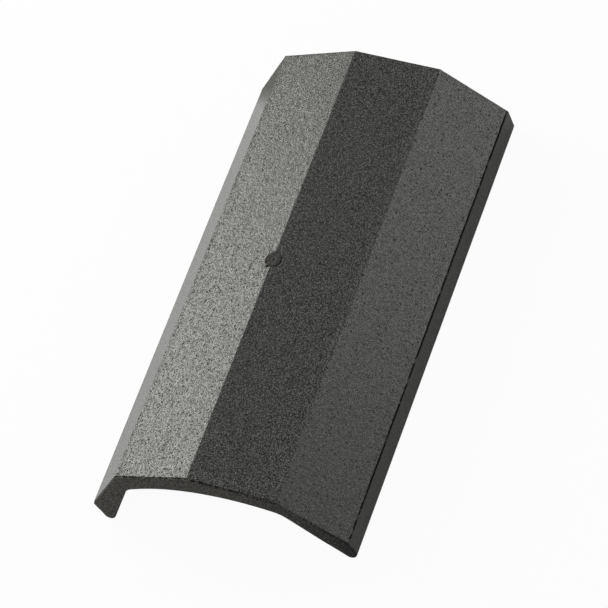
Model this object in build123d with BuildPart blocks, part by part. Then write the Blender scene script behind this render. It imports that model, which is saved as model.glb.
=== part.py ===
"""Concrete ridge tile: a straight four-sided cover that straddles the ridge of a roof."""
import os
from math import atan2, cos, degrees, radians, sin, tan

from build123d import *

# Driving dimensions, in millimetres and degrees

# Weather side of the section
length = 420.0
width = 238.3             # over the two side edges
ridge_height = 98.0       # from the feet to the ridge line
shoulder_spread = 148.2   # between the two creases where the slopes steepen
upper_slope = 12.8        # from level, beside the ridge
side_height = 25.5        # from the feet to the top of the side edges
side_lean = 3.7           # from upright, the side edges draw in towards the feet
foot_radius = 5.2
crease_radius = 2.5       # along the ridge, the shoulders and the tops of the side edges

# Underside of the section
crown_wall = 21.9         # under the ridge line
crown_radius = 176.0      # of the shallow arch under the two upper slopes
wing_turn = 6.6           # the wings are steeper inside than outside, so they thicken towards the feet
armpit_radius = 18.0      # between the arch and the wings

# Ends: the near one is rounded, the far one is cut almost sharp
near_edge_radius = 1.5
far_edge_radius = 0.5

# Screw seat on the ridge, at mid-length: a flat on the crest inside a ring where it breaks out
seat_radius = 7.5         # to the outside of the ring
seat_depth = 1.0          # below the ridge line
ring_width = 1.1
ring_depth = 1.8          # below the seat
pilot_radius = 1.0
pilot_depth = 3.0

# A corner is found by its place to within this distance
corner_tolerance = 0.01


def along(slope):
    """Unit step outwards and down a face of this slope, on the right half of the section."""
    return Vector(cos(radians(slope)), -sin(radians(slope)))


def beneath(slope):
    """Unit step square to a face of this slope, from its upper side to its lower side."""
    return Vector(-sin(radians(slope)), -cos(radians(slope)))


def is_corner(vertex, point):
    """Whether a vertex of the section is this corner of the right half, or its twin on the left."""
    return abs(abs(vertex.X) - point.X) < corner_tolerance and abs(vertex.Y - point.Y) < corner_tolerance


# Corners of the right half of the section: X across the tile, Y of the sketch upwards
ridge = Vector(0, ridge_height)
shoulder = Vector(shoulder_spread / 2, ridge_height - shoulder_spread / 2 * tan(radians(upper_slope)))
side_top = Vector(width / 2, side_height)
crown = Vector(0, ridge_height - crown_wall)
lower_slope = degrees(atan2(shoulder.Y - side_top.Y, side_top.X - shoulder.X))
inner_slope = lower_slope + wing_turn

# The foot is a full round that touches the floor, the side edge and the inside of the wing
foot_draw = (side_top.Y - foot_radius) * tan(radians(side_lean)) + foot_radius / cos(radians(side_lean))
foot_centre = Vector(side_top.X - foot_draw, foot_radius)
foot_outer = foot_centre + Vector(cos(radians(side_lean)), -sin(radians(side_lean))) * foot_radius
foot_bottom = foot_centre - Vector(0, foot_radius)
foot_inner = foot_centre + beneath(inner_slope) * foot_radius

os.makedirs("parts", exist_ok=True)

with BuildPart() as tile:
    # Section: the right half is drawn and mirrored, and the arch closes it across the middle
    with BuildSketch(Plane.XZ) as section:
        with BuildLine():
            Polyline(ridge, shoulder, side_top, foot_outer)
            ThreePointArc(foot_outer, foot_bottom, foot_inner)
            arch_centre = crown - Vector(0, crown_radius)
            arch_guide = CenterArc(arch_centre, crown_radius, 0, 180, mode=Mode.PRIVATE)
            wing = IntersectingLine(foot_inner, -along(inner_slope), arch_guide)
            mirror(about=Plane.YZ)
            ThreePointArc(wing @ 1, crown, Vector(-(wing @ 1).X, (wing @ 1).Y))
        make_face()
        for corner, radius in (
            (ridge, crease_radius),
            (shoulder, crease_radius),
            (side_top, crease_radius),
            (wing @ 1, armpit_radius),
        ):
            fillet(section.vertices().filter_by(lambda v: is_corner(v, corner)), radius)
    extrude(amount=length / 2, both=True)

    # Both ends all round
    near_end, far_end = tile.faces().filter_by(Axis.Y).sort_by(Axis.Y)
    fillet(near_end.edges(), near_edge_radius)
    fillet(far_end.edges(), far_edge_radius)

    # Screw seat: a level flat on the crest, the ring round it, and a pilot for the screw's point
    seat_plane = Plane.XY.offset(ridge_height - seat_depth)
    with BuildSketch(seat_plane):
        Circle(seat_radius)
    extrude(amount=seat_depth, mode=Mode.SUBTRACT)
    with BuildSketch(seat_plane):
        Circle(seat_radius)
        Circle(seat_radius - ring_width, mode=Mode.SUBTRACT)
    extrude(amount=-ring_depth, mode=Mode.SUBTRACT)
    with Locations(seat_plane):
        Hole(pilot_radius, pilot_depth)

tile.part.label = "ridge_tile"
export_step(tile.part, "parts/ridge_tile.step")
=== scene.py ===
"""Looks of the concrete ridge tile: a fine skin with a grainy coat, crumbling edges and a screw seat."""

import math

import bmesh
import bpy
import numpy as np
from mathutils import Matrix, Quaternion, Vector, geometry, noise


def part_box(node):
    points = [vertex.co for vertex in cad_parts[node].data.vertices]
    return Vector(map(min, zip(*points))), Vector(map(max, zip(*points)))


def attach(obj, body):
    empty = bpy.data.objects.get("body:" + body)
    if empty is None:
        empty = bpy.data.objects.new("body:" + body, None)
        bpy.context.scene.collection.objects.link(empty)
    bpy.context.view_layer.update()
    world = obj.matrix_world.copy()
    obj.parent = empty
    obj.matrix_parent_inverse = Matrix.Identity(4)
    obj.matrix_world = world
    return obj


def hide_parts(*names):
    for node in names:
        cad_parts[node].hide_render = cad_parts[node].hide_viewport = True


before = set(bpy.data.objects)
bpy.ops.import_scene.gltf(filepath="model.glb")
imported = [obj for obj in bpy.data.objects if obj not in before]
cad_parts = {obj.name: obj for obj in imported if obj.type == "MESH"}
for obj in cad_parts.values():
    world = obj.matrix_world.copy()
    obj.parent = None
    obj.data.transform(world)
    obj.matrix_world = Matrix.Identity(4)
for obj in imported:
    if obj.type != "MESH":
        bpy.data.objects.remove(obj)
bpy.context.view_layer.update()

MM = 0.001

# Places on the tile, taken from the frame
TILE_NODE = "ridge_tile"
TILE_LOW, TILE_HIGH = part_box(TILE_NODE)
NEAR_Y = TILE_LOW.y
FAR_Y = TILE_HIGH.y
RIDGE_Z = TILE_HIGH.z

# Rounding of the two ends, as on the solid
NEAR_ROUND = 1.5 * MM
FAR_ROUND = 0.5 * MM
NEAR_ROUND_STEPS = 5
FAR_ROUND_STEPS = 3
CORNER_ROUND = 1.0 * MM       # added to the near end's rounding at the feet, where the corners are worn
CORNER_BAND = (9.0 * MM, 24.0 * MM)   # heights between which it fades out
CORNER_REACH = 15.0 * MM      # along the tile, how far the mesh gives way to it

# Screw seat on the ridge, as on the solid
SEAT_RADIUS = 7.5 * MM
SEAT_DEPTH = 0.94 * MM        # of its flat, below the rounded crest of the ridge
SEAT_FLOOR = RIDGE_Z - SEAT_DEPTH
RING_WIDTH = 1.1 * MM
RING_DEPTH = 1.8 * MM
PILOT_RADIUS = 1.0 * MM
PILOT_DEPTH = 3.0 * MM
SEAT_PATCH = 11.0 * MM        # half the side of the square round the seat that has its own mesh

# Steps of the mesh, across the weather side, along the tile, and where it is finest
ACROSS_STEP = 1.4 * MM
ALONG_STEP = 2.2 * MM
FINE_STEP = 0.22 * MM
UNDERSIDE_STEP = 7.0 * MM
CAP_STEP = 4.0 * MM
FINE_REACH = 3.2 * MM         # from an arris or the near end, how far the fine step goes
COARSE_REACH = 9.0 * MM       # from there, where the full step begins

# Camera, at the photograph's angle; the lens and the sensor are in millimetres
CAMERA_PLACE = Vector((1.2766, -1.1800, 2.1916))
CAMERA_AIM = Vector((0.0147, -0.0124, 0.0500))
CAMERA_ROLL = math.radians(-32.97)
CAMERA_LENS = 196.65
SENSOR_WIDTH = 36.0
CAMERA_REACH = 100.0          # metres


# Section of the tile

CUT_DIGITS = 6                # decimals of a metre to which two cuts are the same point


def slice_section(node, y):
    """Neighbours of each point (x, z) where the plane at y cuts the node's triangles."""
    mesh = node.data
    mesh.calc_loop_triangles()
    places = [vertex.co for vertex in mesh.vertices]
    links = {}
    for triangle in mesh.loop_triangles:
        a, b, c = triangle.vertices
        ends = []
        for start, end in ((a, b), (b, c), (c, a)):
            before = places[start].y - y
            after = places[end].y - y
            if (before < 0) != (after < 0):
                cut = places[start].lerp(places[end], before / (before - after))
                ends.append((round(cut.x, CUT_DIGITS), round(cut.z, CUT_DIGITS)))
        if len(ends) == 2 and ends[0] != ends[1]:
            links.setdefault(ends[0], set()).add(ends[1])
            links.setdefault(ends[1], set()).add(ends[0])
    return links


LEAST_TURN = 0.02             # radians: less is left over from the cut through the triangles


def is_bend(before, here, after):
    """Whether an outline turns at a point, and doesn't just pass through it."""
    a = Vector(here) - Vector(before)
    b = Vector(after) - Vector(here)
    return abs(a.cross(b)) > LEAST_TURN * a.length * b.length


def section_halves(links):
    """Weather side and underside of the section, each from the left foot to the right foot."""
    left_foot = min((p for p in links if p[0] < 0), key=lambda p: p[1])
    right_foot = min((p for p in links if p[0] > 0), key=lambda p: p[1])
    outline = [left_foot, min(links[left_foot])]
    while True:
        onward = [p for p in links[outline[-1]] if p != outline[-2]][0]
        if onward == left_foot:
            break
        outline.append(onward)
    turn = outline.index(right_foot)
    weather = outline[:turn + 1]
    underside = [left_foot] + outline[:turn - 1:-1]
    return add_normals(keep_bends(weather), keep_bends(underside))


def keep_bends(points):
    """The points where an open outline turns, with its two ends."""
    kept = [points[0]]
    for i in range(1, len(points) - 1):
        if is_bend(kept[-1], points[i], points[i + 1]):
            kept.append(points[i])
    return np.array(kept + [points[-1]])


LONG_RUN = 3.0                # times as long as its neighbour, a run is a flat and not part of a rounding


def add_normals(weather, underside):
    """The two halves of the section with columns x, z and the outward normal at each point."""
    loop = np.vstack((weather, underside[-2:0:-1]))
    runs = np.roll(loop, -1, axis=0) - loop
    lengths = np.hypot(*runs.T)
    after = np.column_stack((-runs[:, 1], runs[:, 0])) / lengths[:, None]
    before = np.roll(after, 1, axis=0)
    lengths_before = np.roll(lengths, 1)
    normals = after + before
    starts_flat = lengths > LONG_RUN * lengths_before
    ends_flat = lengths_before > LONG_RUN * lengths
    normals[starts_flat] = after[starts_flat]
    normals[ends_flat] = before[ends_flat]
    normals /= np.hypot(*normals.T)[:, None]
    full = np.hstack((loop, normals))
    turn = len(weather)
    return full[:turn], np.vstack((full[:1], full[:turn - 2:-1]))


GRADING_SAMPLES = 600
SPARE_CELL = 1e-6             # less than this share of a step makes no step of its own


def graded(length, step_at):
    """Distances from 0 to length, as far apart as step_at says for each distance."""
    fine = np.linspace(0.0, length, GRADING_SAMPLES)
    middles = (fine[1:] + fine[:-1]) / 2
    cells = np.concatenate(([0.0], np.cumsum((fine[1] - fine[0]) / step_at(middles))))
    count = max(1, math.ceil(cells[-1] - SPARE_CELL))
    return np.interp(np.linspace(0.0, cells[-1], count + 1), cells, fine)


def step_near(distance, full_step):
    """Step of the mesh at this distance from an arris or an end."""
    return np.interp(distance, (FINE_REACH, COARSE_REACH), (FINE_STEP, full_step))


def divide_run(start, end, step_at):
    """Points from start up to, but without, end."""
    run = end - start
    length = np.hypot(*run[:2])
    shares = graded(length, lambda s: step_at(start[:2] + np.outer(s / length, run[:2]))) / length
    return [start + run * share for share in shares[:-1]]


def divide(points, step_at):
    """The points of an outline, with its runs divided into the steps that step_at gives for a place."""
    divided = []
    for start, end in zip(points[:-1], points[1:]):
        divided += divide_run(start, end, step_at)
    return np.array(divided + [points[-1]])


def travel(points):
    """Distance along an outline at each of its points."""
    return np.concatenate(([0.0], np.cumsum(np.hypot(*np.diff(points[:, :2], axis=0).T))))


def side_arrises(weather):
    """Tops of the two side edges: the corners furthest out on the left and on the right."""
    return weather[weather[:, 0].argmin(), :2], weather[weather[:, 0].argmax(), :2]


def distance_to_nearer(points, one, other):
    """Distance of each point from the nearer of two places."""
    return np.minimum(np.hypot(*(points - one).T), np.hypot(*(points - other).T))


def nearest_travel(points, place):
    """Distance along an outline of its point that lies nearest to a place."""
    return travel(points)[np.hypot(*(points[:, :2] - place).T).argmin()]


# Shaping functions

def smooth(low, high, value):
    """0 below low, 1 above high and a smooth rise between them."""
    share = min(max((value - low) / (high - low), 0.0), 1.0)
    return share * share * (3 - 2 * share)


def ripple(place, size, seed):
    """Soft noise from -1 to 1 with features of this size."""
    return noise.noise(Vector(place) / size + Vector((seed, 2.0 * seed, 3.0 * seed)))


# Mesh of the tile

def end_rows(end, inwards, radius, steps):
    """Stations (y, inset, turn) of a rounded end, from the flat of the end to the straight part."""
    rows = []
    for k in range(steps + 1):
        turn = math.pi / 2 * k / steps
        rows.append((end + inwards * radius * (1 - math.cos(turn)), radius * (1 - math.sin(turn)), turn))
    return rows


def stations():
    """Stations (y, inset, turn) along the tile, from the near end to the far end."""
    near = end_rows(NEAR_Y, 1, NEAR_ROUND, NEAR_ROUND_STEPS)
    far = end_rows(FAR_Y, -1, FAR_ROUND, FAR_ROUND_STEPS)
    straight = graded(far[-1][0] - near[-1][0], lambda s: step_near(s, ALONG_STEP))
    middle = [(near[-1][0] + s, 0.0, math.pi / 2) for s in straight[1:-1]]
    return near + middle + far[::-1]


ELSEWHERE = -1.0              # stands for the distance up a slope, off the weather side
ON_TOP = 0.14                 # and near the ridge line


class Skin:
    """Vertices and faces of the tile. Each vertex knows the way inwards and how far up a slope it is."""

    def __init__(self):
        self.places = []
        self.inwards = []
        self.uphill = []
        self.crevice = []
        self.faces = []

    def add(self, place, inwards, uphill=ELSEWHERE, crevice=0.0):
        """A new vertex. uphill is its distance from the side edge, and crevice is 1 in a gap that is
        painted dark as its shade.
        """
        self.places.append(Vector(place))
        self.inwards.append(Vector(inwards))
        self.uphill.append(uphill)
        self.crevice.append(crevice)
        return len(self.places) - 1

    def strip(self, first, second):
        """Faces between two rows of equally many vertices."""
        for a, b, c, d in zip(first[:-1], first[1:], second[1:], second[:-1]):
            self.faces.append([a, b, c, d])


def arris_distances(weather):
    """For each point of the weather side, how far it lies up the slope from the nearer side edge."""
    at = travel(weather)
    left, right = side_arrises(weather)
    left_at = nearest_travel(weather, left)
    right_at = nearest_travel(weather, right)
    return np.minimum(at - left_at, right_at - at)


def wear_corner(y, inset, z):
    """Place along the tile and inset of a point, with the near end rounder at the feet."""
    extra = CORNER_ROUND * smooth(CORNER_BAND[1], CORNER_BAND[0], z)
    from_end = y - NEAR_Y
    if from_end <= NEAR_ROUND:
        scale = 1 + extra / NEAR_ROUND
        return NEAR_Y + from_end * scale, inset * scale
    fade = max(0.0, 1 - (from_end - NEAR_ROUND) / CORNER_REACH)
    return y + extra * fade, inset


def build_sweep(skin, weather, underside):
    """The section swept along the tile, with a hole for the screw seat. Returns the rows of vertices."""
    loop = np.vstack((weather, underside[-2:0:-1]))
    normals = loop[:, 2:] / np.hypot(*loop[:, 2:].T)[:, None]
    uphill = np.concatenate((arris_distances(weather), np.full(len(underside) - 2, ELSEWHERE)))
    in_patch = np.abs(loop[:, 0]) < SEAT_PATCH
    in_patch[len(weather):] = False
    rows = []
    for y, inset, turn in stations():
        row = []
        for place, normal, distance, inside in zip(loop[:, :2], normals, uphill, in_patch):
            if inside and abs(y) < SEAT_PATCH:
                row.append(None)
                continue
            worn_y, worn_inset = wear_corner(y, inset, place[1])
            x, z = place - normal * worn_inset
            across, upward = -normal * math.sin(turn)
            along = -math.copysign(math.cos(turn), y)
            row.append(skin.add((x, worn_y, z), (across, along, upward), distance))
        rows.append(row)
    for near, far in zip(rows[:-1], rows[1:]):
        for i, (a, d) in enumerate(zip(near, far)):
            b = near[(i + 1) % len(near)]
            c = far[(i + 1) % len(far)]
            if None not in (a, b, c, d):
                skin.faces.append([a, b, c, d])
    return rows


def inner_grid(outline):
    """Points of a grid that lie well inside a closed outline."""
    ends = np.roll(outline, -1, axis=0)
    low = outline.min(axis=0)
    high = outline.max(axis=0)
    kept = []
    for x in np.arange(low[0], high[0], CAP_STEP):
        for z in np.arange(low[1], high[1], CAP_STEP):
            crossed = (outline[:, 1] > z) != (ends[:, 1] > z)
            start, end = outline[crossed], ends[crossed]
            at = start[:, 0] + (end[:, 0] - start[:, 0]) * (z - start[:, 1]) / (end[:, 1] - start[:, 1])
            is_inside = np.count_nonzero(at > x) % 2 == 1
            if is_inside and np.hypot(*(outline - (x, z)).T).min() > CAP_STEP / 2:
                kept.append((x, z))
    return kept


INSIDE_ONLY = 1               # kind of triangulation that leaves out what lies outside the outline
SAME_POINT = 1e-8             # metres


def build_cap(skin, row):
    """A flat end: triangles between its outline and a grid of inner points."""
    y = skin.places[row[0]].y
    inwards = (0.0, -math.copysign(1.0, y), 0.0)
    outline = [(skin.places[i].x, skin.places[i].z) for i in row]
    inner = inner_grid(np.array(outline))
    members = row + [skin.add((x, y, z), inwards) for x, z in inner]
    edges = [(i, (i + 1) % len(row)) for i in range(len(row))]
    points = [Vector(point) for point in outline + inner]
    _, _, triangles, sources, _, _ = geometry.delaunay_2d_cdt(points, edges, [], INSIDE_ONLY, SAME_POINT)
    for triangle in triangles:
        skin.faces.append([members[sources[corner][0]] for corner in triangle])


# Ring round the screw seat: stretches where it is open (middle and reach in degrees, share of its depth)
RING_OPEN = ((-45.0, 43.0, 1.0), (20.0, 12.0, 0.5), (185.0, 40.0, 0.4))
RING_FADE = 8.0               # degrees to either side of a stretch's end
RING_FILLED = 0.1             # share of its depth elsewhere
NICK_ANGLES = (250.0, 245.0)  # of the short nick across the ring's edge, from its inner to its outer end
NICK_ENDS = (7.0 * MM, 8.4 * MM)
NICK_REACH = 11.0             # degrees to either side
NICK_DEPTH = 1.4 * MM
SEAT_SHADE = 0.3               # painted shade on the left half of the flat, which lies in the rim's shadow
SEAT_SHADE_FADE = 0.3 * SEAT_RADIUS         # to either side of its middle, where the painted shade thins out


def angle_between(angle, middle):
    """Degrees between two directions, without a sign."""
    return abs((angle - middle + 180.0) % 360.0 - 180.0)


def ring_share(angle):
    """How deep the ring is open in this direction: the coating has filled much of it."""
    share = RING_FILLED
    for middle, reach, most in RING_OPEN:
        off = angle_between(angle, middle)
        share = max(share, most * smooth(reach + RING_FADE, reach - RING_FADE, off))
    return share


def nick_share(angle, radius):
    """1 in the short nick across the ring's edge, 0 away from it."""
    if not NICK_ENDS[0] < radius < NICK_ENDS[1]:
        return 0.0
    middle = np.interp(radius, NICK_ENDS, NICK_ANGLES)
    return smooth(NICK_REACH, NICK_REACH / 2, angle_between(angle, middle))


# Rings of the seat's mesh
APRON_SHARES = (0.25, 0.5, 0.75)      # places of the rows between the square border and the first ring
SEAT_EDGE = 0.15 * MM         # rounding of the seat's edges
SURROUND_RINGS = (1.6 * MM, 0.7 * MM)         # outside the seat, on the slopes
FLAT_MARGIN = 0.6 * MM        # inside the rim of the flat
FLAT_SHARES = (0.72, 0.45)    # of the flat's radius
PILOT_MARGIN = 0.5 * MM       # outside the pilot


def seat_rings():
    """Rings of the screw seat from the outside in: radius, what it lies on, and depth below that."""
    edge = SEAT_EDGE
    flat_radius = SEAT_RADIUS - RING_WIDTH
    surround = [(SEAT_RADIUS + distance, "slope", 0.0) for distance in SURROUND_RINGS]
    flat = [(share * flat_radius, "flat", 0.0) for share in FLAT_SHARES]
    return [
        *surround,
        (SEAT_RADIUS + edge, "slope", 0.0),
        (SEAT_RADIUS, "slope", edge),
        (SEAT_RADIUS - edge / 2, "ring", RING_DEPTH - edge),
        (SEAT_RADIUS - edge, "ring", RING_DEPTH),
        (flat_radius + edge, "ring", RING_DEPTH),
        (flat_radius + edge / 2, "ring", RING_DEPTH - edge),
        (flat_radius, "flat", edge),
        (flat_radius - edge, "flat", 0.0),
        (flat_radius - FLAT_MARGIN, "flat", 0.0),
        *flat,
        (PILOT_RADIUS + PILOT_MARGIN, "flat", 0.0),
        (PILOT_RADIUS + edge, "flat", 0.0),
        (PILOT_RADIUS, "flat", edge),
        (PILOT_RADIUS, "pilot", PILOT_DEPTH - edge),
        (PILOT_RADIUS - edge, "pilot", PILOT_DEPTH),
    ]


def patch_border(rows, count):
    """Vertices round the hole for the screw seat, in order."""
    open_rows = [i for i, row in enumerate(rows) if None in row]
    open_columns = [i for i in range(count) if rows[open_rows[0]][i] is None]
    first_row, last_row = open_rows[0] - 1, open_rows[-1] + 1
    first_column, last_column = open_columns[0] - 1, open_columns[-1] + 1
    near = [rows[first_row][i] for i in range(first_column, last_column)]
    right = [rows[i][last_column] for i in range(first_row, last_row)]
    far = [rows[last_row][i] for i in range(last_column, first_column, -1)]
    left = [rows[i][first_column] for i in range(last_row, first_row, -1)]
    return near + right + far + left


def add_seat_vertex(skin, slopes, radius, ground, depth, angle):
    """A vertex of the screw seat, on the ring of this radius and in this direction in radians."""
    x = radius * math.cos(angle)
    y = radius * math.sin(angle)
    degrees = math.degrees(angle)
    roof = np.interp(x, slopes[:, 0], slopes[:, 1])
    nick = nick_share(degrees, radius)
    # the crevice level paints the nick, the open ring and the pilot near black as painted shade
    crevice = nick
    if ground == "slope":
        z = roof - depth
    elif ground == "ring":
        z = roof + (SEAT_FLOOR - depth - roof) * ring_share(degrees)
        crevice = max(nick, ring_share(degrees))
    else:
        z = min(SEAT_FLOOR, roof) - depth
        # painted shade on the flat's left half, laid on through the crevice level
        crevice = max(nick, SEAT_SHADE * smooth(SEAT_SHADE_FADE, -SEAT_SHADE_FADE, x))
    if ground == "pilot":
        crevice = 1.0
    uphill = ON_TOP if ground == "slope" else ELSEWHERE
    return skin.add((x, y, z - nick * NICK_DEPTH), (0.0, 0.0, -1.0), uphill, crevice)


def build_seat(skin, border, weather):
    """The screw seat: rings from the square border to the pilot in the middle."""
    slopes = weather[np.abs(weather[:, 0]) < 2 * SEAT_PATCH]
    angles = [math.atan2(skin.places[i].y, skin.places[i].x) for i in border]
    reaches = np.array([skin.places[i].xy.length for i in border])
    rings = seat_rings()
    outermost = rings[0][0]
    apron = [(reaches + (outermost - reaches) * share, "slope", 0.0) for share in APRON_SHARES]
    last = border
    for radius, ground, depth in apron + rings:
        radii = np.broadcast_to(radius, len(border))
        here = [add_seat_vertex(skin, slopes, r, ground, depth, angle) for r, angle in zip(radii, angles)]
        skin.strip(last + last[:1], here + here[:1])
        last = here
    # the pilot's bottom, painted black as shade
    centre = skin.add((0.0, 0.0, SEAT_FLOOR - PILOT_DEPTH), (0.0, 0.0, -1.0), crevice=1.0)
    for a, b in zip(last, last[1:] + last[:1]):
        skin.faces.append([a, b, centre])


# Surface of the tile. A ripple is the size of the features and the seed of a noise

# Coat of grains and its edges
EDGE_BREAK = 1.6 * MM         # from the near end, where the grains stop
EDGE_RAGGED = 0.5 * MM
EDGE_RIPPLE = (4.0 * MM, 1.0)
EDGE_SOFT = 1.5 * MM          # half the width over which they thin out
WORN_SIDE = (64.0 * MM, 84.0 * MM)    # across the tile: from here on the near edge is rubbed soft
WORN_BREAK = 1.8 * MM         # so much nearer to the end the grains stop there
ARRIS_BREAK = 1.9 * MM        # up the slope from the side edges, where the grains stop
ARRIS_RAGGED = 0.35 * MM
ARRIS_RIPPLE = (3.0 * MM, 2.0)
ARRIS_SOFT = 0.25 * MM        # half the width over which they thin out there
WAVE_DEPTH = 0.12 * MM
WAVE_RIPPLE = (55.0 * MM, 5.0)
GRAIN_DEPTH = 0.16 * MM
GRAIN_RIPPLE = (3.6 * MM, 6.0)

# Chips along the line where the grains stop at the near end
CHIP_LINE = -0.2 * MM         # middle of the chips, from that line
CHIP_WIDTH = 0.8 * MM
CHIP_SIDES = (0.2 * MM, 1.0 * MM)     # up the slope: between these places they set in
CHIP_LIP = 0.5 * MM           # from the near end, within which they fade out
CHIP_RIPPLE = (3.6 * MM, 3.0)
CHIP_BROKEN = (-0.1, 0.4)     # levels of that noise between which the line breaks open
CHIP_SHARES = (0.4, 0.3, 0.3)         # of their depth: all along, where it is broken, at the worst places
CHIP_DEPTH = 1.5 * MM
CHIP_WAY = Vector((0.0, 0.45, -0.89))
WORST_PLACES = ((12.0 * MM, 14.0 * MM), (114.0 * MM, 4.0 * MM))   # across the tile: middle and reach

# Broken line along the tops of the side edges
GROOVE_LINE = 0.2 * MM        # middle of the line, up the slope from where the grains stop
GROOVE_WIDTH = 0.6 * MM
GROOVE_FLANK = 4              # power that makes its flanks steep
ARRIS_WHOLE = 5.0 * MM        # from the near end, how long the side edges stay whole
GROOVE_FADE = 1.0 * MM        # to either side of that place
GROOVE_RIPPLE = (4.0 * MM, 4.0)
GROOVE_BROKEN = (-0.55, -0.1)         # levels of that noise between which the line opens
GROOVE_RUNOUT = (0.5 * MM, 3.0 * MM)  # from the far end: between these places it gets its depth
GROOVE_DEPTH = 1.5 * MM
GROOVE_SLANT = (0.51, 0.86)   # inwards and downwards

# Dark crumbs on the ends, from none at 0 to all dark at 1, with painted shade on the near end: more
# towards the right foot and round the corners at the feet
END_PLACES = (-120.0 * MM, 0.0, 60.0 * MM, 105.0 * MM, 118.0 * MM)    # across the near end
END_CRUMBS_AND_SHADE = (0.22, 0.24, 0.36, 0.43, 0.55)   # at these places, rising to the right as painted shade
END_FULL = 0.4                # share of their reach round the edge up to which they keep that level
CORNER_SHADE_REACH = 3.0 * MM        # so much further they reach round the corners at the feet, as painted shade near the floor
FAR_CRUMBS = 0.25             # on the far end

# Dull patch at the far end of the left wing
DULL_SHARE = 0.20             # level of the crevice attribute, which roughens the coat there
DULL_ALONG = (25.0 * MM, -5.0 * MM)   # from the far end: between these places it sets in at the side edge
DULL_SLANT = 0.8              # and so much further from the end for each step up the wing
DULL_ACROSS = (-70.0 * MM, -76.0 * MM)        # across the tile: between these places it sets in

# Contrast of the grains
WING_REACH = (70.0 * MM, 73.0 * MM)   # up the slope: between these places the wings become the top
WING_GRIT = 0.5               # on the wings
TOP_GRIT = 1.3
SEAM_PLACE = 74.0 * MM        # up the slope: middle of a line of coarse grains just above the shoulders
SEAM_REACH = 1.2 * MM
SEAM_GRIT = 1.0               # added to the contrast there


def near_chips(place, past_end, uphill, worn):
    """Crumbled pits along the line where the grains stop at the near end, from 0 to 1."""
    line = math.exp(-((past_end - CHIP_LINE) / CHIP_WIDTH) ** 2) * smooth(*CHIP_SIDES, uphill)
    line *= smooth(0.0, CHIP_LIP, place.y - NEAR_Y)
    worst = max(math.exp(-((place.x - middle) / reach) ** 2) for middle, reach in WORST_PLACES)
    broken = smooth(*CHIP_BROKEN, ripple(place, *CHIP_RIPPLE))
    plain, deep, deepest = CHIP_SHARES
    return line * (plain + deep * broken + deepest * broken * worst) * max(worst, 1 - worn)


def arris_groove(place, past_arris):
    """Broken line along the tops of the side edges, from 0 to 1."""
    line = math.exp(-((past_arris - GROOVE_LINE) / GROOVE_WIDTH) ** GROOVE_FLANK)
    line *= smooth(ARRIS_WHOLE - GROOVE_FADE, ARRIS_WHOLE + GROOVE_FADE, place.y - NEAR_Y)
    return line * smooth(*GROOVE_BROKEN, ripple(place, *GROOVE_RIPPLE))


def end_crumbs_and_shade(place):
    """Dark crumbs on the two ends, from 0 to 1, with painted shade that grows towards the near end's
    right foot and round its corners at the feet.
    """
    reach = NEAR_ROUND + CORNER_SHADE_REACH * smooth(CORNER_BAND[1], CORNER_BAND[0], place.z)
    near = smooth(reach, END_FULL * reach, place.y - NEAR_Y)
    far = smooth(FAR_ROUND, 0.0, FAR_Y - place.y)
    return max(near * np.interp(place.x, END_PLACES, END_CRUMBS_AND_SHADE), far * FAR_CRUMBS)


def dull_patch(place):
    """Rough coating at the far end of the left wing, where it has no sheen."""
    from_end = FAR_Y - place.y - DULL_SLANT * (place.x - TILE_LOW.x)
    return DULL_SHARE * smooth(*DULL_ALONG, from_end) * smooth(*DULL_ACROSS, place.x)


def grit_at(uphill):
    """Contrast of the grains at a distance up the slope: low on the wings, high beside the shoulders."""
    seam = SEAM_GRIT * math.exp(-((uphill - SEAM_PLACE) / SEAM_REACH) ** 2)
    return WING_GRIT + (TOP_GRIT - WING_GRIT) * smooth(*WING_REACH, uphill) + seam


def surface_at(place, inwards, uphill):
    """Coat, crevice and worn place of a point of the skin."""
    worn = smooth(*WORN_SIDE, place.x)
    ragged = EDGE_RAGGED * ripple(place, *EDGE_RIPPLE)
    past_end = place.y - NEAR_Y - EDGE_BREAK + WORN_BREAK * worn - ragged
    past_arris = uphill - ARRIS_BREAK - ARRIS_RAGGED * ripple(place, *ARRIS_RIPPLE)
    coat = smooth(-EDGE_SOFT, EDGE_SOFT, past_end) * smooth(-ARRIS_SOFT, ARRIS_SOFT, past_arris)
    chips = near_chips(place, past_end, uphill, worn)
    groove = arris_groove(place, past_arris)
    # the chips and the groove are cut into the mesh and are also painted near black through this level,
    # as painted shade
    crevice = max(chips, groove, end_crumbs_and_shade(place), dull_patch(place))

    wave = 0.5 + 0.5 * ripple(place, *WAVE_RIPPLE)
    grain = 0.5 + 0.5 * ripple(place, *GRAIN_RIPPLE)
    groove_depth = GROOVE_DEPTH * groove * smooth(*GROOVE_RUNOUT, FAR_Y - place.y)
    groove_way = Vector((-math.copysign(GROOVE_SLANT[0], place.x), 0.0, -GROOVE_SLANT[1]))
    moved = place + inwards * (WAVE_DEPTH * wave + GRAIN_DEPTH * grain * coat)
    moved += CHIP_WAY * CHIP_DEPTH * chips + groove_way * groove_depth
    return coat, crevice, moved


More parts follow.
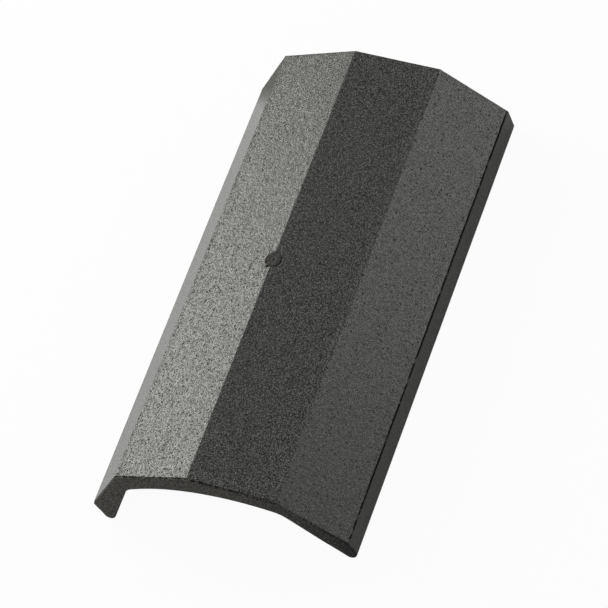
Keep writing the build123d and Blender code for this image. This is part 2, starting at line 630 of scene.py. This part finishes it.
def build_tile():
    """The whole tile as one closed mesh, with its relief worked inwards from the section."""
    weather, underside = section_halves(slice_section(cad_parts[TILE_NODE], FAR_Y / 2))
    left, right = side_arrises(weather)
    weather = divide(weather, lambda p: step_near(distance_to_nearer(p, left, right), ACROSS_STEP))
    underside = divide(underside, lambda p: np.full(len(p), UNDERSIDE_STEP))
    skin = Skin()
    rows = build_sweep(skin, weather, underside)
    build_cap(skin, rows[0])
    build_cap(skin, rows[-1])
    build_seat(skin, patch_border(rows, len(weather)), weather)

    surface = [surface_at(*point) for point in zip(skin.places, skin.inwards, skin.uphill)]
    places = [moved for _, _, moved in surface]
    coats = [coat for coat, _, _ in surface]
    crevices = [max(preset, crevice) for preset, (_, crevice, _) in zip(skin.crevice, surface)]
    grits = [grit_at(uphill) for uphill in skin.uphill]

    mesh = bpy.data.meshes.new("tile_skin")
    mesh.from_pydata(places, [], skin.faces)
    shape = bmesh.new()
    shape.from_mesh(mesh)
    bmesh.ops.recalc_face_normals(shape, faces=shape.faces)
    shape.to_mesh(mesh)
    shape.free()
    mesh.shade_smooth()
    for name, values in (("coat", coats), ("crevice", crevices), ("grit", grits)):
        attribute = mesh.attributes.new(name, "FLOAT", "POINT")
        attribute.data.foreach_set("value", values)
    tile = bpy.data.objects.new("tile_skin", mesh)
    bpy.context.collection.objects.link(tile)
    return tile


# Materials

MIX_INPUTS = (0, 6, 7)        # sockets of a mix node for its share and its two colours
MIX_OUTPUT = 2                # socket of the mixed colour


class Nodes:
    """Short hand for the nodes of a material or world."""

    def __init__(self, owner):
        owner.use_nodes = True
        self.tree = owner.node_tree
        self.tree.nodes.clear()

    def add(self, kind, inputs=None, **settings):
        """A new node. An input is a constant or another node's output."""
        node = self.tree.nodes.new(kind)
        for name, value in settings.items():
            setattr(node, name, value)
        for name, value in (inputs or {}).items():
            if isinstance(value, bpy.types.NodeSocket):
                self.tree.links.new(value, node.inputs[name])
            else:
                node.inputs[name].default_value = value
        return node

    def math(self, operation, first, second):
        """Result of a calculation with two values."""
        return self.add("ShaderNodeMath", {0: first, 1: second}, operation=operation).outputs[0]

    def ramp(self, value, low, high, from_value=0.0, to_value=1.0):
        """A value from low to high, turned smoothly into one between the other two."""
        inputs = {
            "Value": value,
            "From Min": low,
            "From Max": high,
            "To Min": from_value,
            "To Max": to_value,
        }
        return self.add("ShaderNodeMapRange", inputs, interpolation_type="SMOOTHSTEP").outputs["Result"]

    def mix(self, share, first, second):
        """A colour between two colours."""
        inputs = dict(zip(MIX_INPUTS, (share, first, second)))
        return self.add("ShaderNodeMix", inputs, data_type="RGBA").outputs[MIX_OUTPUT]

    def noise(self, where, scale, detail):
        """Cloudy noise about 0.5 with this many features to the metre."""
        inputs = {"Vector": where, "Scale": scale, "Detail": detail}
        return self.add("ShaderNodeTexNoise", inputs).outputs["Fac"]


# Colours of the grainy coat, of the bare skin on the side edges and underside, and of the broken ends
GRAIN_LOW = (0.013, 0.013, 0.012, 1.0)
GRAIN_HIGH = (0.150, 0.150, 0.139, 1.0)
# Painted shade in the bump's pits and specks, which are darker than the coat round them
PIT_SHADE = (0.008, 0.008, 0.007, 1.0)
SPECK_SHADE = (0.003, 0.003, 0.003, 1.0)
BARE = (0.013, 0.0126, 0.0113, 1.0)
BARE_PALE = (0.041, 0.040, 0.0355, 1.0)
BROKEN = (0.012, 0.0115, 0.010, 1.0)
BROKEN_PALE = (0.085, 0.081, 0.071, 1.0)
# Painted shade: near black in the chips, the grooves, the seat's ring, nick and pilot, and the dark
# crumbs
CREVICE_SHADE = (0.002, 0.002, 0.002, 1.0)

# Levels between which one look becomes the other
COAT_EDGE = (0.90, 1.10)      # bare skin and coat: the coat attribute and the crumbs' noise together
CREVICE_EDGE = (0.80, 1.00)   # open surface and the crevice's painted shade: the crevice attribute and the same noise
BROKEN_EDGE = (0.0, 0.25)     # bare and broken skin: the crevice attribute alone
GRAIN_TONES = (0.40, 0.68)    # low and high grains: the grains' noise
SKIN_TONES = (0.35, 0.65)     # dark and pale skin: the skin's noise
SPECK_TONES = (0.0, 0.5)      # coat and a speck's painted shade: the depth of a speck

# Bowls: their radius in cells, and the levels of chance between which they are missing and whole
PIT_BOWLS = (0.5, 0.2, 0.5)
SPECK_BOWLS = (0.2, 0.2, 0.4)

GRAIN_MEAN = 0.5              # middle of the noise
GRAIN_SCALE = 900.0           # features to the metre, here and below
PIT_SCALE = 880.0
SPECK_SCALE = 210.0
LUMP_SCALE = 160.0
SKIN_SCALE = 520.0
CRUMB_SCALE = 580.0
GRAIN_HEIGHT = 0.20           # millimetres, for the whole range of the noise, here and below
PIT_HEIGHT = 0.22
SPECK_HEIGHT = 0.60
LUMP_HEIGHT = 0.20
SKIN_HEIGHT = 0.35
WING_RELIEF = 0.60            # share of the grains', pits' and specks' heights on the wings
COATED_ROUGHNESS = 0.30
WING_ROUGHNESS = 0.22         # the coat is a little smoother on the wings
BARE_ROUGHNESS = 0.55
BROKEN_ROUGHNESS = 0.95       # on the ends and in crevices
CONCRETE_IOR = 1.5


def scattered(n, where, scale, reach, least_chance, sure_chance):
    """Bowls scattered over a surface, 1 in their middle and 0 outside; some are shallow or missing."""
    cells = n.add("ShaderNodeTexVoronoi", {"Vector": where, "Scale": scale})
    chance = n.add("ShaderNodeSeparateColor", {"Color": cells.outputs["Color"]}).outputs["Red"]
    out = n.math("DIVIDE", cells.outputs["Distance"], reach)
    bowl = n.math("MAXIMUM", n.math("SUBTRACT", 1.0, n.math("MULTIPLY", out, out)), 0.0)
    return n.math("MULTIPLY", bowl, n.ramp(chance, least_chance, sure_chance))


def coated_concrete():
    """Dark coated concrete: pitted grains on the slopes, a smoother cement skin elsewhere."""
    material = bpy.data.materials.new("coated_concrete")
    n = Nodes(material)
    where = n.add("ShaderNodeTexCoord").outputs["Object"]

    # The edges of the coat and of the crevices crumble
    crumbs = n.noise(where, CRUMB_SCALE, detail=2.0)
    coat = n.add("ShaderNodeAttribute", attribute_name="coat").outputs["Fac"]
    coat = n.ramp(n.math("ADD", coat, crumbs), *COAT_EDGE)
    bare = n.math("SUBTRACT", 1.0, coat)
    broken = n.add("ShaderNodeAttribute", attribute_name="crevice").outputs["Fac"]
    # painted shade where the crevice attribute and the crumbs' noise are high
    crevice = n.ramp(n.math("ADD", broken, crumbs), *CREVICE_EDGE)

    grit = n.add("ShaderNodeAttribute", attribute_name="grit").outputs["Fac"]
    pits = scattered(n, where, PIT_SCALE, *PIT_BOWLS)
    specks = scattered(n, where, SPECK_SCALE, *SPECK_BOWLS)
    grains = n.noise(where, GRAIN_SCALE, detail=1.0)
    lumps = n.noise(where, LUMP_SCALE, detail=1.0)
    skin = n.noise(where, SKIN_SCALE, detail=3.0)

    # Height of the surface in millimetres
    height = n.math("MULTIPLY", grains, GRAIN_HEIGHT)
    height = n.math("SUBTRACT", height, n.math("MULTIPLY", pits, PIT_HEIGHT))
    height = n.math("SUBTRACT", height, n.math("MULTIPLY", specks, SPECK_HEIGHT))
    coarse = n.math("MAXIMUM", n.math("SUBTRACT", grit, TOP_GRIT), 0.0)
    relief = n.math("ADD", n.ramp(grit, WING_GRIT, TOP_GRIT, WING_RELIEF, 1.0), coarse)
    height = n.math("MULTIPLY", height, relief)
    height = n.math("ADD", height, n.math("MULTIPLY", lumps, LUMP_HEIGHT))
    height = n.math("MULTIPLY", height, coat)
    height = n.math("ADD", height, n.math("MULTIPLY", n.math("MULTIPLY", skin, SKIN_HEIGHT), bare))
    bump = n.add("ShaderNodeBump", {"Height": height, "Distance": MM, "Strength": 1.0})

    # Colour and roughness
    contrast = n.math("ADD", n.math("MULTIPLY", n.math("SUBTRACT", grains, GRAIN_MEAN), grit), GRAIN_MEAN)
    grain_colour = n.mix(n.ramp(contrast, *GRAIN_TONES), GRAIN_LOW, GRAIN_HIGH)
    # painted shade in the pits and specks
    grain_colour = n.mix(pits, grain_colour, PIT_SHADE)
    grain_colour = n.mix(n.ramp(specks, *SPECK_TONES), grain_colour, SPECK_SHADE)
    patches = n.ramp(skin, *SKIN_TONES)
    broken_colour = n.mix(patches, BROKEN, BROKEN_PALE)
    bare_colour = n.mix(n.ramp(broken, *BROKEN_EDGE), n.mix(patches, BARE, BARE_PALE), broken_colour)
    colour = n.mix(coat, bare_colour, grain_colour)
    # painted shade: the crevices turn near black
    colour = n.mix(crevice, colour, CREVICE_SHADE)
    coated_roughness = n.ramp(grit, WING_GRIT, TOP_GRIT, WING_ROUGHNESS, COATED_ROUGHNESS)
    roughness = n.math(
        "MAXIMUM",
        n.ramp(coat, 0.0, 1.0, BARE_ROUGHNESS, coated_roughness),
        n.ramp(broken, *BROKEN_EDGE, WING_ROUGHNESS, BROKEN_ROUGHNESS),
    )
    surface = n.add(
        "ShaderNodeBsdfPrincipled",
        {
            "Base Color": colour,
            "Roughness": roughness,
            "IOR": CONCRETE_IOR,
            "Normal": bump.outputs["Normal"],
        },
    )
    n.add("ShaderNodeOutputMaterial", {"Surface": surface.outputs["BSDF"]})
    return material


# Floor

FLOOR_COLOUR = (0.96, 0.96, 0.96, 1.0)
WHITE = (1.0, 1.0, 1.0, 1.0)
FLOOR_LIFT = 0.95             # share of plain white that the camera sees
SHEEN_LIFT = 0.14             # share of it in reflections
FLOOR_SIZE = 12.0             # metres


def floor_material():
    """Pale floor that looks almost white to the camera, and keeps the tile's soft shadow."""
    material = bpy.data.materials.new("floor")
    n = Nodes(material)
    path = n.add("ShaderNodeLightPath")
    seen = n.math("MAXIMUM", path.outputs["Is Camera Ray"], path.outputs["Is Transmission Ray"])
    lift = n.math("MULTIPLY", seen, FLOOR_LIFT)
    lift = n.math("MAXIMUM", lift, n.math("MULTIPLY", path.outputs["Is Glossy Ray"], SHEEN_LIFT))
    matt = n.add("ShaderNodeBsdfDiffuse", {"Color": FLOOR_COLOUR})
    glow = n.add("ShaderNodeEmission", {"Color": WHITE, "Strength": 1.0})
    both = n.add("ShaderNodeMixShader", {0: lift, 1: matt.outputs["BSDF"], 2: glow.outputs["Emission"]})
    n.add("ShaderNodeOutputMaterial", {"Surface": both.outputs["Shader"]})
    return material


def build_floor():
    """Large level floor under the tile."""
    half = FLOOR_SIZE / 2
    mesh = bpy.data.meshes.new("floor")
    corners = [(-half, -half, 0.0), (half, -half, 0.0), (half, half, 0.0), (-half, half, 0.0)]
    mesh.from_pydata(corners, [], [(0, 1, 2, 3)])
    floor = bpy.data.objects.new("floor", mesh)
    mesh.materials.append(floor_material())
    bpy.context.collection.objects.link(floor)


# Light and camera

HORIZON_LEVEL = 0.92
ZENITH_LEVEL = 0.23
KEY_PLACE = (-2.12, 0.60, 1.01)
KEY_SIZE = (1.5, 1.2)         # width and height
KEY_RADIANCE = 7.1
KEY_TINT = (1.0, 1.0, 0.94)
FILL_PLACE = (1.35, 0.95, 0.48)
FILL_SIZE = (0.8, 0.6)
FILL_RADIANCE = 1.3
FILL_TINT = (1.0, 1.0, 1.0)


def light_world():
    """Soft light from all round, white at the horizon and dimmer overhead."""
    world = bpy.data.worlds.new("studio")
    n = Nodes(world)
    where = n.add("ShaderNodeTexCoord").outputs["Generated"]
    up = n.add("ShaderNodeSeparateXYZ", {"Vector": where}).outputs["Z"]
    level = n.add(
        "ShaderNodeMapRange",
        {"Value": up, "From Min": 0.0, "From Max": 1.0, "To Min": HORIZON_LEVEL, "To Max": ZENITH_LEVEL},
    )
    sky = n.add("ShaderNodeBackground", {"Color": WHITE, "Strength": level.outputs["Result"]})
    n.add("ShaderNodeOutputWorld", {"Surface": sky.outputs["Background"]})
    bpy.context.scene.world = world


def add_softbox(name, place, size, radiance, tint):
    """An even rectangular lamp that faces the tile from this place."""
    width, height = size
    lamp = bpy.data.lights.new(name, "AREA")
    lamp.shape = "RECTANGLE"
    lamp.size = width
    lamp.size_y = height
    lamp.energy = radiance * width * height * math.pi
    lamp.color = tint
    box = bpy.data.objects.new(name, lamp)
    box.location = place
    box.rotation_mode = "QUATERNION"
    box.rotation_quaternion = Vector(place).to_track_quat("Z", "Y")
    bpy.context.collection.objects.link(box)


def light_studio():
    """Large softbox behind the left slope, for its sheen, and a dim one behind the right slope."""
    light_world()
    add_softbox("key", KEY_PLACE, KEY_SIZE, KEY_RADIANCE, KEY_TINT)
    add_softbox("fill", FILL_PLACE, FILL_SIZE, FILL_RADIANCE, FILL_TINT)


def place_camera():
    """The camera at the photograph's place, aim and roll."""
    lens = bpy.data.cameras.new("camera")
    lens.lens = CAMERA_LENS
    lens.sensor_width = SENSOR_WIDTH
    lens.clip_end = CAMERA_REACH
    camera = bpy.data.objects.new("camera", lens)
    look = CAMERA_AIM - CAMERA_PLACE
    camera.location = CAMERA_PLACE
    camera.rotation_mode = "QUATERNION"
    camera.rotation_quaternion = look.to_track_quat("-Z", "Y") @ Quaternion((0, 0, 1), CAMERA_ROLL)
    bpy.context.collection.objects.link(camera)
    bpy.context.scene.camera = camera


tile = build_tile()
tile.data.materials.append(coated_concrete())
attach(tile, "root")
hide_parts(TILE_NODE)

build_floor()
light_studio()
place_camera()
bpy.context.scene.view_settings.view_transform = "Standard"
